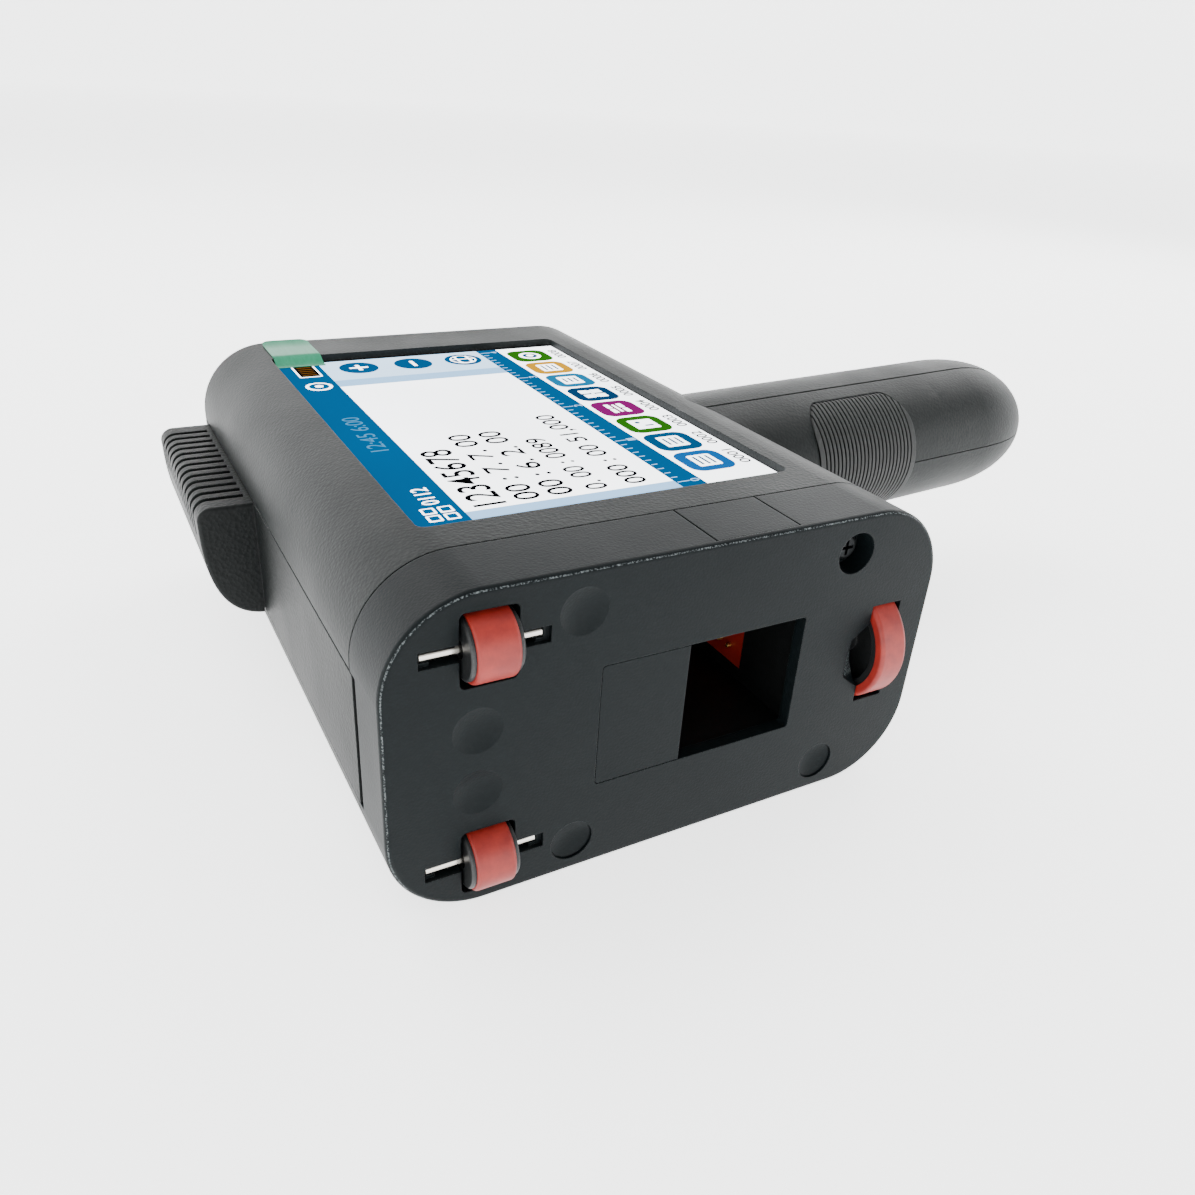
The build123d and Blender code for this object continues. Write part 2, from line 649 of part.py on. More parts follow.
grip_top = cover_top
rib_pitch, rib_gap, rib_depth = 4.2, 1.8, 1.2
rib_first, rib_count = 103.0, 13
corner_drop, corner_run = 4.0, 3.4
with BuildPart() as thumb_grip:
    with BuildSketch(front_plane(grip_near)):
        with BuildLine():
            top = Line((-62.0, grip_top), (grip_reach + corner_run, grip_top))
            corner = TangentArc(top @ 1, (grip_reach, grip_top - corner_drop), tangent=top % 1)
            sweep_down = Bezier(corner @ 1, (grip_reach, 30.0), (-73.4, 18.4), (-62.8, 17.3))
            Polyline(sweep_down @ 1, (-62.8, cover_bottom + 0.2), (-62.0, cover_bottom + 0.2), top @ 0)
        make_face()
    extrude(amount=grip_near - grip_far)
    near_edges = thumb_grip.faces().sort_by(Axis.Y)[0].edges()
    fillet(near_edges.filter_by_position(Axis.X, grip_reach - 1, -63.5), 0.8)

# One gap between two ribs: it wraps over the flat top and the upper corner.
rib_bottom, rib_root = 39.0, -63.7
with BuildPart() as rib_cut:
    with BuildSketch(front_plane(rib_first)):
        with BuildLine():
            floor = Line((rib_root, grip_top - rib_depth), (grip_reach + corner_run, grip_top - rib_depth))
            bend = TangentArc(floor @ 1, (grip_reach + rib_depth, grip_top - corner_drop), tangent=floor % 1)
            Polyline(bend @ 1, (grip_reach + rib_depth, rib_bottom), (grip_reach - 5, rib_bottom),
                     (grip_reach - 5, grip_top + 2), (rib_root, grip_top + 2), floor @ 0)
        make_face()
    extrude(amount=-rib_gap)

with BuildPart() as cover_blank:
    add(block((-64, -59.7), (cover_front, body_depth + 1), (cover_bottom, cover_top)))
    add(block((-59.8, -59.8 + flange_thickness), (cover_front, body_depth + 1), (16.9, 49.9)))
    for hook_bottom in (21.0, 40.5):
        add(block((-59.8, -59.8 + flange_thickness), (12.2, cover_front + 1),
                  (hook_bottom, hook_bottom + 5)))
    add(body_form(0, 12.2, body_depth, rear_rounding), mode=Mode.INTERSECT)

with BuildPart() as cartridge_cover:
    add(cover_blank.part)
    add(thumb_grip.part)
    for number in range(rib_count):
        add(Location((0, number * rib_pitch, 0)) * rib_cut.part, mode=Mode.SUBTRACT)
cartridge_cover.part.label = "cartridge_cover"
export_step(cartridge_cover.part, "parts/cartridge_cover.step")

# ---- Touch screen and its mounting ----

glass_gap = 0.2
panel_lap = 1.4
with BuildPart() as touch_glass:
    add(block((screen_left + glass_gap, screen_right - glass_gap),
              (screen_near + glass_gap, screen_far - glass_gap), (panel_top, glass_top)))
    fillet(touch_glass.edges().filter_by(Axis.Z), 2.0)
touch_glass.part.label = "touch_glass"
export_step(touch_glass.part, "parts/touch_glass.step")

panel_depth = (screen_near - panel_lap, screen_far + panel_lap)
with BuildPart() as lcd_panel:
    add(block((screen_left - panel_lap, screen_right + panel_lap), panel_depth, (panel_bottom, panel_top)))
lcd_panel.part.label = "lcd_panel"
export_step(lcd_panel.part, "parts/lcd_panel.step")

carrier_bottom = panel_bottom - 1.0
with BuildPart() as display_carrier:
    add(block((-44.0, 38.0), panel_depth, (carrier_bottom, panel_bottom)))
    for x, depth in display_posts:
        ear = (depth - 3.5, depth + 5.0) if depth < body_depth / 2 else (depth - 5.0, depth + 3.5)
        add(block((x - 3.5, x + 3.5), ear, (carrier_bottom, panel_bottom)))
    with BuildSketch(level(carrier_bottom - 1)):
        with Locations(*display_posts):
            Circle(1.1)
    extrude(amount=3, mode=Mode.SUBTRACT)
display_carrier.part.label = "display_carrier"
export_step(display_carrier.part, "parts/display_carrier.step")

display_screw_planes = [
    Plane(origin=(x, front + depth, carrier_bottom), x_dir=(1, 0, 0), z_dir=(0, 0, -1))
    for x, depth in display_posts
]
with BuildPart() as display_screws:
    add(set_of(cross_screw(1.9, 1.4, 1.0, 5.5), display_screw_planes))
display_screws.part.label = "display_screws"
export_step(display_screws.part, "parts/display_screws.step")

# Protective film's pull-tab: over the glass edge, up the step and back along the shell.
film = 0.22
with BuildPart() as film_tab:
    with BuildSketch(side_plane(screen_left + 0.8)):
        with BuildLine():
            Polyline((163.6, body_height + 0.02), (146.6, body_height + 0.02), (144.6, glass_top + 0.02),
                     (142.0, glass_top + 0.02), (142.0, glass_top + film), (144.4, glass_top + film),
                     (146.4, body_height + film), (163.6, body_height + film), close=True)
        make_face()
    extrude(amount=13.0)
film_tab.part.label = "film_tab"
export_step(film_tab.part, "parts/film_tab.step")

# ---- Main board, its chips, screws and buzzer ----

board_bottom = wall - 0.5 + 39.0
board_top = board_bottom + 1.6
with BuildPart() as main_board:
    add(block((-44, 44), (80, 154), (board_bottom, board_top)))
    with BuildSketch(level(board_bottom - 1)):
        with Locations(*board_posts):
            Circle(1.3)
    extrude(amount=4, mode=Mode.SUBTRACT)
main_board.part.label = "main_board"
export_step(main_board.part, "parts/main_board.step")

# Each chip or connector: place on the board, then its width, length and height.
chips = (
    (-12, 118, 16, 16, 1.6),
    (12, 124, 12, 9, 1.4),
    (-30, 124, 9, 9, 1.4),
    (-6, 145, 30, 5, 4.0),
    (30, 88, 12, 6, 5.0),
)
with BuildPart() as board_chips:
    for x, depth, width, length, height in chips:
        add(block((x - width / 2, x + width / 2), (depth - length / 2, depth + length / 2),
                  (board_top, board_top + height)))
board_chips.part.label = "board_chips"
export_step(board_chips.part, "parts/board_chips.step")

board_screw_planes = [
    Plane(origin=(x, front + depth, board_top), x_dir=(1, 0, 0), z_dir=(0, 0, 1))
    for x, depth in board_posts
]
with BuildPart() as board_screws:
    add(set_of(cross_screw(2.3, 1.7, 1.2, 7.0), board_screw_planes))
board_screws.part.label = "board_screws"
export_step(board_screws.part, "parts/board_screws.step")

with BuildPart() as buzzer:
    add(rod(level(board_top), 6.0, 6.5, ((14, 98),)))
    add(rod(level(board_top + 5.5), 1.2, 2.0, ((14, 98),)), mode=Mode.SUBTRACT)
buzzer.part.label = "buzzer"
export_step(buzzer.part, "parts/buzzer.step")

# ---- Rear ports and power button ----

port_face = body_depth - 0.9
port_board_top = 22.0
with BuildPart() as port_board:
    add(block((-34, 30), (145, 162.4), (port_board_top - 1.6, port_board_top)))
port_board.part.label = "port_board"
export_step(port_board.part, "parts/port_board.step")

usb_half_width, usb_half_height = usb_size[0] / 2, usb_size[1] / 2
with BuildPart() as usb_shell:
    add(block((usb_x - usb_half_width, usb_x + usb_half_width), (152.5, port_face),
              (port_height - usb_half_height, port_height + usb_half_height)))
    add(block((usb_x - usb_half_width + 0.4, usb_x + usb_half_width - 0.4), (153.0, port_face + 1),
              (port_height - usb_half_height + 0.4, port_height + usb_half_height - 0.4)),
        mode=Mode.SUBTRACT)
usb_shell.part.label = "usb_shell"
export_step(usb_shell.part, "parts/usb_shell.step")

with BuildPart() as usb_tongue:
    add(block((usb_x - 5.6, usb_x + 5.6), (153.0, port_face - 1.0), (port_height + 0.3, port_height + 2.1)))
usb_tongue.part.label = "usb_tongue"
export_step(usb_tongue.part, "parts/usb_tongue.step")

with BuildPart() as dc_jack:
    add(block((jack_x - 4.5, jack_x + 4.5), (153.5, 165.3), (port_board_top, 30.4)))
    add(along_y(jack_x, port_height, jack_radius, 165.3, port_face))
    add(along_y(jack_x, port_height, 2.8, 157.0, port_face + 1), mode=Mode.SUBTRACT)
dc_jack.part.label = "dc_jack"
export_step(dc_jack.part, "parts/dc_jack.step")

with BuildPart() as dc_pin:
    add(along_y(jack_x, port_height, 1.0, 157.0, port_face - 0.8))
    fillet(dc_pin.edges().group_by(Axis.Y)[-1], 0.5)
dc_pin.part.label = "dc_pin"
export_step(dc_pin.part, "parts/dc_pin.step")

with BuildPart() as power_button:
    add(along_y(power_x, port_height, power_radius, 164.0, body_depth + 0.4))
    fillet(power_button.edges().group_by(Axis.Y)[-1], 0.8)
    add(along_y(power_x, port_height, 6.2, 164.0, 165.2))
power_button.part.label = "power_button"
export_step(power_button.part, "parts/power_button.step")

with BuildPart() as power_switch:
    add(block((power_x - 3, power_x + 3), (157.4, 161.6), (port_board_top, port_height + 3)))
    add(along_y(power_x, port_height, 1.6, 161.6, 162.6))
power_switch.part.label = "power_switch"
export_step(power_switch.part, "parts/power_switch.step")

# ---- Handle: grip pads, trigger, battery ----

rib_step, grip_rib_count = 1.5, 24


def grip_pad_layer(outer, inner):
    """A curved pad between two offsets of the handle's surface, with the grip zone's outline."""
    with BuildPart() as made:
        add(handle_form(outer, -6))
        with BuildSketch(finger_plane(0, grip_edge_offset + 0.15)):
            with Locations(((grip_pad_start + grip_pad_end) / 2, 0)):
                RectangleRounded(grip_pad_end - grip_pad_start - 0.3, 36.1, 6.9)
        extrude(amount=handle_half_depth, mode=Mode.INTERSECT)
        add(handle_form(inner, -12), mode=Mode.SUBTRACT)
    return made.part


with BuildPart() as grip_pads:
    add(grip_pad_layer(-0.3, grip_pad_depth - 0.4))
    with BuildSketch(finger_plane((grip_pad_start + grip_pad_end) / 2, 0)):
        with GridLocations(rib_step, 1, grip_rib_count, 1):
            Rectangle(0.55, 60)
    extrude(amount=40, mode=Mode.SUBTRACT)
    add(grip_pad_layer(grip_pad_depth - 0.6, grip_pad_depth))
    split(bisect_by=Plane.XY.offset(parting_height), keep=Keep.BOTH)
grip_pads.part.label = "grip_pads"
export_step(grip_pads.part, "parts/grip_pads.step")

trigger_flange_out = 17.2
with BuildPart() as trigger:
    with BuildSketch(thumb_plane(trigger_along, trigger_flange_out - 1.6)):
        RectangleRounded(trigger_length, trigger_width, 4.6)
    extrude(amount=11.6)
    fillet(trigger.faces().sort_by(Axis.Y)[-1].edges(), 1.8)
    with BuildSketch(thumb_plane(trigger_along, trigger_flange_out - 1.6)):
        RectangleRounded(trigger_length + 4.0, trigger_width + 3.6, 3.0)
    extrude(amount=1.6)
    finger_hollow = Plane(origin=thumb_plane(trigger_along, 45.4).origin, x_dir=(1, 0, 0), z_dir=(0, 0, 1))
    add(finger_hollow.location * Cylinder(19.5, 40, mode=Mode.PRIVATE), mode=Mode.SUBTRACT)
trigger.part.label = "trigger"
export_step(trigger.part, "parts/trigger.step")

with BuildPart() as trigger_bracket:
    with BuildSketch(thumb_plane(trigger_along, 1.0)):
        RectangleRounded(25, 26, 2)
    extrude(amount=2.0)
trigger_bracket.part.label = "trigger_bracket"
export_step(trigger_bracket.part, "parts/trigger_bracket.step")

with BuildPart() as trigger_switch:
    with BuildSketch(thumb_plane(trigger_along - 5, 3.0)):
        Rectangle(10, 7)
    extrude(amount=6.0)
    with BuildSketch(thumb_plane(trigger_along - 5, 9.0)):
        Circle(1.6)
    extrude(amount=3.4)
trigger_switch.part.label = "trigger_switch"
export_step(trigger_switch.part, "parts/trigger_switch.step")

# The return spring, at the length that it has under the pressed trigger.
spring_turns, spring_radius, wire_radius = 6, 2.6, 0.35
spring_start, spring_height = 3.1, 8.0
with BuildPart() as trigger_spring:
    spring_plane = thumb_plane(trigger_along + 6, spring_start + wire_radius)
    with BuildLine() as coil:
        Helix(spring_height / spring_turns, spring_height, spring_radius,
              center=spring_plane.origin, direction=spring_plane.z_dir)
    with BuildSketch(Plane(coil.line @ 0, z_dir=coil.line % 0)):
        Circle(wire_radius)
    sweep(path=coil.line)
trigger_spring.part.label = "trigger_spring"
export_step(trigger_spring.part, "parts/trigger_spring.step")

cell_radius, cell_length, cell_start = 9.0, 65.0, 35.0
cell_plane = Plane(
    origin=handle_frame.origin + handle_frame.x_dir * cell_start,
    x_dir=Vector(-math.sin(math.radians(handle_angle)), math.cos(math.radians(handle_angle)), 0),
    z_dir=handle_frame.x_dir,
)
with BuildPart() as battery_cells:
    with BuildSketch(cell_plane):
        with GridLocations(2 * cell_radius + 0.3, 1, 2, 1):
            Circle(cell_radius)
    extrude(amount=cell_length)
    fillet(battery_cells.edges().filter_by(GeomType.CIRCLE), 0.8)
battery_cells.part.label = "battery_cells"
export_step(battery_cells.part, "parts/battery_cells.step")

with BuildPart() as battery_holder:
    with BuildSketch(cell_plane.offset(-2.0)):
        with Locations((0, -cell_radius - 1.4)):
            Rectangle(25, 2.4)
    extrude(amount=cell_length + 4)
    for offset_along in (-2.0, cell_length + 0.2):
        with BuildSketch(cell_plane.offset(offset_along)):
            Rectangle(25, 19)
        extrude(amount=1.8)
battery_holder.part.label = "battery_holder"
export_step(battery_holder.part, "parts/battery_holder.step")
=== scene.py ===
import math

import bpy
from mathutils import Matrix, Vector


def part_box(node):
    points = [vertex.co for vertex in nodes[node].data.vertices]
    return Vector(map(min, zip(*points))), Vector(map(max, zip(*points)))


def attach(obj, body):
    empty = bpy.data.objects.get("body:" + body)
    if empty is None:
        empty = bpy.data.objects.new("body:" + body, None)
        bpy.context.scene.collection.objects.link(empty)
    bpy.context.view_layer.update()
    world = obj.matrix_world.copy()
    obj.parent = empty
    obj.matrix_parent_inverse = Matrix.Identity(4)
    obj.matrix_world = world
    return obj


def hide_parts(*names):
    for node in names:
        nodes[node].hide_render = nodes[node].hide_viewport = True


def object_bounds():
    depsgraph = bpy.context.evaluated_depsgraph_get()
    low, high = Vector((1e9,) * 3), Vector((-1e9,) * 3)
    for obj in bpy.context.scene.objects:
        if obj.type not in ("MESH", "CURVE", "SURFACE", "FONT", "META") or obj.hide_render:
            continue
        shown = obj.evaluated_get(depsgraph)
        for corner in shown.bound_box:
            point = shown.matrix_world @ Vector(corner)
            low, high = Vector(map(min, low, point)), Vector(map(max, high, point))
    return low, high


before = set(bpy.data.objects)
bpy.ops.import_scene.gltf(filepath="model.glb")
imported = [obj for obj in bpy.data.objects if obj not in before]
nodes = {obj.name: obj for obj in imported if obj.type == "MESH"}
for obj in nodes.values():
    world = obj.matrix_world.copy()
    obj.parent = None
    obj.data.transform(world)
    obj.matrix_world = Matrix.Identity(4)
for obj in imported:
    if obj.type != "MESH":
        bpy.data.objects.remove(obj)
cadLow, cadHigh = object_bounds()
bpy.ops.object.select_all(action="DESELECT")
mm = 0.001
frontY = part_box("front_cap")[0].y
print("frame loaded,", len(nodes), "nodes")

# camera, at the angle that shows the print face, the screen and the thumb grip together
cameraSettings = {
    "place": (-0.09855, -0.21382, 0.14353),
    "azimuth": 30.36,
    "elevation": 28.27,
    "roll": 3.82,
    "lens": 29.4,
}


def makeCamera():
    data = bpy.data.cameras.new("camera")
    data.lens = cameraSettings["lens"]
    data.sensor_width = 36.0
    data.clip_start, data.clip_end = 0.01, 10.0
    camera = bpy.data.objects.new("camera", data)
    bpy.context.scene.collection.objects.link(camera)
    turn = Matrix.Rotation(-math.radians(cameraSettings["azimuth"]), 4, "Z")
    tilt = Matrix.Rotation(math.radians(90 - cameraSettings["elevation"]), 4, "X")
    roll = Matrix.Rotation(math.radians(cameraSettings["roll"]), 4, "Z")
    camera.matrix_world = Matrix.Translation(cameraSettings["place"]) @ turn @ tilt @ roll
    bpy.context.scene.camera = camera


makeCamera()
print("camera placed")


# colours are written as sRGB hex and turned to linear here
def linearColour(code, alpha=1.0):
    parts = [int(code[i:i + 2], 16) / 255 for i in (1, 3, 5)]
    return [c / 12.92 if c <= 0.04045 else ((c + 0.055) / 1.055) ** 2.4 for c in parts] + [alpha]


# one shader node with its settings, its input values and its links
def addNode(tree, kind, settings=None, inputs=None, links=None):
    node = tree.nodes.new(kind)
    for name, value in (settings or {}).items():
        setattr(node, name, value)
    for name, value in (inputs or {}).items():
        node.inputs[name].default_value = value
    for name, socket in (links or {}).items():
        tree.links.new(socket, node.inputs[name])
    return node


def startMaterial(name):
    material = bpy.data.materials.new(name)
    material.use_nodes = True
    tree = material.node_tree
    place = addNode(tree, "ShaderNodeTexCoord").outputs["Object"]
    return material, tree, tree.nodes["Principled BSDF"], place


# a pattern's scale is one over its real size, because object coordinates are metres
def perMillimetre(size):
    return 1.0 / (size * mm)


# injection-moulded ABS: spark-eroded grain in the tool gives a soft, slightly speckled sheen, handling polishes
# it in patches, and a pale painted highlight, broken into specks, is laid along the corners and the rim
def mouldedAbs(name, look):
    material, tree, surface, place = startMaterial(name)
    grain = addNode(tree, "ShaderNodeTexNoise", inputs={
        "Scale": perMillimetre(look["grain"]), "Detail": 3.0, "Roughness": 0.6}, links={"Vector": place})
    speck = addNode(tree, "ShaderNodeTexVoronoi", inputs={
        "Scale": perMillimetre(look["grain"] * 1.7)}, links={"Vector": place})
    patches = addNode(tree, "ShaderNodeTexNoise", inputs={
        "Scale": perMillimetre(38.0), "Detail": 2.0}, links={"Vector": place})
    rounded = addNode(tree, "ShaderNodeBevel", {"samples": 4}, {"Radius": look["edge"] * mm})
    flat = addNode(tree, "ShaderNodeNewGeometry").outputs["Normal"]
    facing = addNode(tree, "ShaderNodeVectorMath", {"operation": "DOT_PRODUCT"}, None,
                     {0: rounded.outputs["Normal"], 1: flat})
    onEdge = addNode(tree, "ShaderNodeMapRange", None, {
        "From Min": 0.995, "From Max": 0.86, "To Min": 0.0, "To Max": look["edgeLight"]},
        {"Value": facing.outputs["Value"]})
    # painted highlight on the rounded rim, in a band where it turns away from the print face
    turned = addNode(tree, "ShaderNodeSeparateXYZ", None, None, {0: flat})
    onRim = addNode(tree, "ShaderNodeMath", {"operation": "COMPARE"}, {1: -0.8, 2: look["rimWidth"]},
                    {0: turned.outputs["Y"]})
    onEither = addNode(tree, "ShaderNodeMath", {"operation": "MAXIMUM"}, None, {
        0: onEdge.outputs["Result"], 1: onRim.outputs["Value"]})
    # grain noise breaks the painted highlight into specks
    highlightSpecks = addNode(tree, "ShaderNodeMapRange", None, {"From Min": 0.46, "From Max": 0.62}, {
        "Value": grain.outputs["Fac"]})
    broken = addNode(tree, "ShaderNodeMath", {"operation": "MULTIPLY"}, None, {
        0: onEither.outputs["Value"], 1: highlightSpecks.outputs["Result"]})
    mottled = addNode(tree, "ShaderNodeMix", {"data_type": "RGBA"}, {
        6: linearColour(look["dark"]), 7: linearColour(look["light"])}, {0: grain.outputs["Fac"]})
    # the painted highlight is mixed into the base colour here
    withEdgeHighlight = addNode(tree, "ShaderNodeMix", {"data_type": "RGBA"}, {7: linearColour(look["highlightColour"])}, {
        0: broken.outputs["Value"], 6: mottled.outputs[2]})
    tree.links.new(withEdgeHighlight.outputs[2], surface.inputs["Base Color"])
    sheen = addNode(tree, "ShaderNodeMapRange", None, {
        "From Min": 0.3, "From Max": 0.7, "To Min": look["rough"] - 0.05, "To Max": look["rough"] + 0.06},
        {"Value": patches.outputs["Fac"]})
    tree.links.new(sheen.outputs["Result"], surface.inputs["Roughness"])
    coarse = addNode(tree, "ShaderNodeBump", None, {
        "Strength": 0.8, "Distance": look["depth"] * mm},
        {"Height": speck.outputs["Distance"], "Normal": rounded.outputs["Normal"]})
    fine = addNode(tree, "ShaderNodeBump", None, {
        "Strength": 0.8, "Distance": look["depth"] * 0.6 * mm},
        {"Height": grain.outputs["Fac"], "Normal": coarse.outputs["Normal"]})
    tree.links.new(fine.outputs["Normal"], surface.inputs["Normal"])
    surface.inputs["IOR"].default_value = 1.5
    surface.inputs["Specular IOR Level"].default_value = look["gloss"]
    return material


# rubber: matt, with a bloom of paler dust and a faint moulding texture
def mouldedRubber(name, look):
    material, tree, surface, place = startMaterial(name)
    bloom = addNode(tree, "ShaderNodeTexNoise", inputs={
        "Scale": perMillimetre(3.5), "Detail": 5.0, "Roughness": 0.65}, links={"Vector": place})
    pores = addNode(tree, "ShaderNodeTexNoise", inputs={
        "Scale": perMillimetre(0.22), "Detail": 2.0}, links={"Vector": place})
    spread = addNode(tree, "ShaderNodeMapRange", None, {"From Min": 0.35, "From Max": 0.72},
                     {"Value": bloom.outputs["Fac"]})
    colour = addNode(tree, "ShaderNodeMix", {"data_type": "RGBA"}, {
        6: linearColour(look["base"]), 7: linearColour(look["bloom"])}, {0: spread.outputs["Result"]})
    tree.links.new(colour.outputs[2], surface.inputs["Base Color"])
    rounded = addNode(tree, "ShaderNodeBevel", {"samples": 4}, {"Radius": 0.25 * mm})
    bump = addNode(tree, "ShaderNodeBump", None, {"Strength": 0.5, "Distance": 0.03 * mm},
                   {"Height": pores.outputs["Fac"], "Normal": rounded.outputs["Normal"]})
    tree.links.new(bump.outputs["Normal"], surface.inputs["Normal"])
    surface.inputs["Roughness"].default_value = look["rough"]
    surface.inputs["Sheen Weight"].default_value = look["sheen"]
    surface.inputs["Sheen Roughness"].default_value = 0.5
    surface.inputs["IOR"].default_value = 1.45
    return material


# metal: turning, drawing or plating leaves fine lines one way, stretched by the given mapping scale
def workedMetal(name, look):
    material, tree, surface, place = startMaterial(name)
    stretched = addNode(tree, "ShaderNodeMapping", None, {"Scale": look["lines"]}, {"Vector": place})
    marks = addNode(tree, "ShaderNodeTexNoise", inputs={
        "Scale": perMillimetre(0.3), "Detail": 4.0, "Roughness": 0.7}, links={"Vector": stretched.outputs[0]})
    tarnish = addNode(tree, "ShaderNodeTexNoise", inputs={
        "Scale": perMillimetre(6.0), "Detail": 3.0}, links={"Vector": place})
    colour = addNode(tree, "ShaderNodeMix", {"data_type": "RGBA"}, {
        6: linearColour(look["dark"]), 7: linearColour(look["light"])}, {0: tarnish.outputs["Fac"]})
    tree.links.new(colour.outputs[2], surface.inputs["Base Color"])
    rough = addNode(tree, "ShaderNodeMapRange", None, {
        "To Min": look["rough"] - 0.06, "To Max": look["rough"] + 0.1}, {"Value": marks.outputs["Fac"]})
    tree.links.new(rough.outputs["Result"], surface.inputs["Roughness"])
    bump = addNode(tree, "ShaderNodeBump", None, {"Strength": 0.35, "Distance": 0.012 * mm},
                   {"Height": marks.outputs["Fac"]})
    tree.links.new(bump.outputs["Normal"], surface.inputs["Normal"])
    surface.inputs["Metallic"].default_value = 1.0
    return material


# glossy sheets and lacquers: even colour with a faint cloud under a clear, slightly smudged top
def clearCoated(name, look):
    material, tree, surface, place = startMaterial(name)
    cloud = addNode(tree, "ShaderNodeTexNoise", inputs={
        "Scale": perMillimetre(look["cloud"]), "Detail": 4.0}, links={"Vector": place})
    colour = addNode(tree, "ShaderNodeMix", {"data_type": "RGBA"}, {
        6: linearColour(look["dark"]), 7: linearColour(look["light"])}, {0: cloud.outputs["Fac"]})
    tree.links.new(colour.outputs[2], surface.inputs["Base Color"])
    smudge = addNode(tree, "ShaderNodeMapRange", None, {
        "From Min": 0.35, "From Max": 0.75, "To Min": look["rough"], "To Max": look["rough"] + 0.08},
        {"Value": cloud.outputs["Fac"]})
    tree.links.new(smudge.outputs["Result"], surface.inputs["Roughness"])
    surface.inputs["Coat Weight"].default_value = look["coat"]
    surface.inputs["Coat Roughness"].default_value = 0.06
    return material


# lit liquid-crystal image: light from behind, broken by the pixel grid, which is drawn at 0.3 mm
# because the real 0.18 mm pitch is too fine to show
def litPixels(name, colour, glow):
    material, tree, surface, place = startMaterial(name)
    grid = addNode(tree, "ShaderNodeTexChecker", inputs={
        "Scale": perMillimetre(0.3), "Color1": linearColour(colour),
        "Color2": [0.94 * c for c in linearColour(colour)[:3]] + [1.0]}, links={"Vector": place})
    unlit = addNode(tree, "ShaderNodeMix", {"data_type": "RGBA"}, {
        0: 0.9, 7: linearColour("#050608")}, {6: grid.outputs["Color"]})
    uneven = addNode(tree, "ShaderNodeTexNoise", inputs={
        "Scale": perMillimetre(45.0), "Detail": 1.0}, links={"Vector": place})
    level = addNode(tree, "ShaderNodeMapRange", None, {
        "From Min": 0.3, "From Max": 0.7, "To Min": glow * 0.92, "To Max": glow * 1.05},
        {"Value": uneven.outputs["Fac"]})
    tree.links.new(unlit.outputs[2], surface.inputs["Base Color"])
    tree.links.new(grid.outputs["Color"], surface.inputs["Emission Color"])
    tree.links.new(level.outputs["Result"], surface.inputs["Emission Strength"])
    surface.inputs["Roughness"].default_value = 0.16
    surface.inputs["Specular IOR Level"].default_value = 0.0  # the polariser stops the room's reflection
    return material


# tinted polyester film: matt, with faint rolling streaks
def tintedFilm(name, colour):
    material, tree, surface, place = startMaterial(name)
    stretched = addNode(tree, "ShaderNodeMapping", None, {"Scale": (1.0, 0.08, 1.0)}, {"Vector": place})
    streaks = addNode(tree, "ShaderNodeTexNoise", inputs={
        "Scale": perMillimetre(0.8), "Detail": 3.0}, links={"Vector": stretched.outputs[0]})
    colours = addNode(tree, "ShaderNodeMix", {"data_type": "RGBA"}, {
        6: linearColour(colour), 7: linearColour("#2F8C69")}, {0: streaks.outputs["Fac"]})
    tree.links.new(colours.outputs[2], surface.inputs["Base Color"])
    bump = addNode(tree, "ShaderNodeBump", None, {"Strength": 0.3, "Distance": 0.02 * mm},
                   {"Height": streaks.outputs["Fac"]})
    tree.links.new(bump.outputs["Normal"], surface.inputs["Normal"])
    surface.inputs["Roughness"].default_value = 0.3
    surface.inputs["Specular IOR Level"].default_value = 0.12
    return material


# each look's pale edge colour is a painted highlight laid on corners and rims
shellLook = {"dark": "#0C0F0F", "light": "#161A1A", "highlightColour": "#4F5454", "rough": 0.47, "gloss": 0.13,
             "grain": 0.5, "depth": 0.06, "edge": 0.4, "edgeLight": 0.25, "rimWidth": -1.0}
capLook = dict(shellLook, dark="#080C0D", light="#0D1315", highlightColour="#5C6263", rough=0.42, gloss=0.08,
               grain=0.34, depth=0.03, edge=0.3, edgeLight=0.2, rimWidth=0.09)
capTrimLook = dict(capLook, edgeLight=0.05, rimWidth=-1.0)
coverLook = dict(shellLook, dark="#0A0C0C", light="#141717", grain=0.6, depth=0.09)
innerLook = dict(shellLook, dark="#070808", light="#0C0D0E", highlightColour="#3A3C3D", rough=0.42, gloss=0.2,
                 grain=0.3, depth=0.02, edgeLight=0.1)
hubLook = dict(innerLook, dark="#0E0F10", light="#151718", highlightColour="#7C7F80", gloss=0.4, edgeLight=0.25)
tyreLook = {"base": "#72110A", "bloom": "#8C2015", "rough": 0.5, "sheen": 0.0}
gripLook = {"base": "#0C0E0E", "bloom": "#161919", "rough": 0.62, "sheen": 0.0}
steelLook = {"dark": "#B9B4AB", "light": "#E8E4DC", "rough": 0.2, "lines": (0.05, 1.0, 1.0)}
blackenedLook = {"dark": "#1A1B1C", "light": "#2E3031", "rough": 0.42, "lines": (1.0, 1.0, 0.2)}
zincLook = {"dark": "#8E9092", "light": "#C4C6C8", "rough": 0.34, "lines": (1.0, 1.0, 0.2)}
goldLook = {"dark": "#B98A3A", "light": "#E9C778", "rough": 0.25, "lines": (0.1, 1.0, 1.0)}
tinLook = {"dark": "#A9ABAD", "light": "#D9DBDC", "rough": 0.24, "lines": (1.0, 0.1, 1.0)}
springLook = {"dark": "#77797B", "light": "#B4B6B8", "rough": 0.3, "lines": (0.2, 0.2, 1.0)}
sheetLook = {"dark": "#8A8C8C", "light": "#B3B5B5", "rough": 0.38, "lines": (1.0, 0.05, 1.0)}
redBoardLook = {"dark": "#6E120D", "light": "#8E1C15", "cloud": 6.0, "rough": 0.35, "coat": 0.1}
greenBoardLook = {"dark": "#0E4A2A", "light": "#17663A", "cloud": 6.0, "rough": 0.26, "coat": 0.5}
epoxyLook = dict(innerLook, dark="#17181A", light="#242628", rough=0.55, grain=0.25)
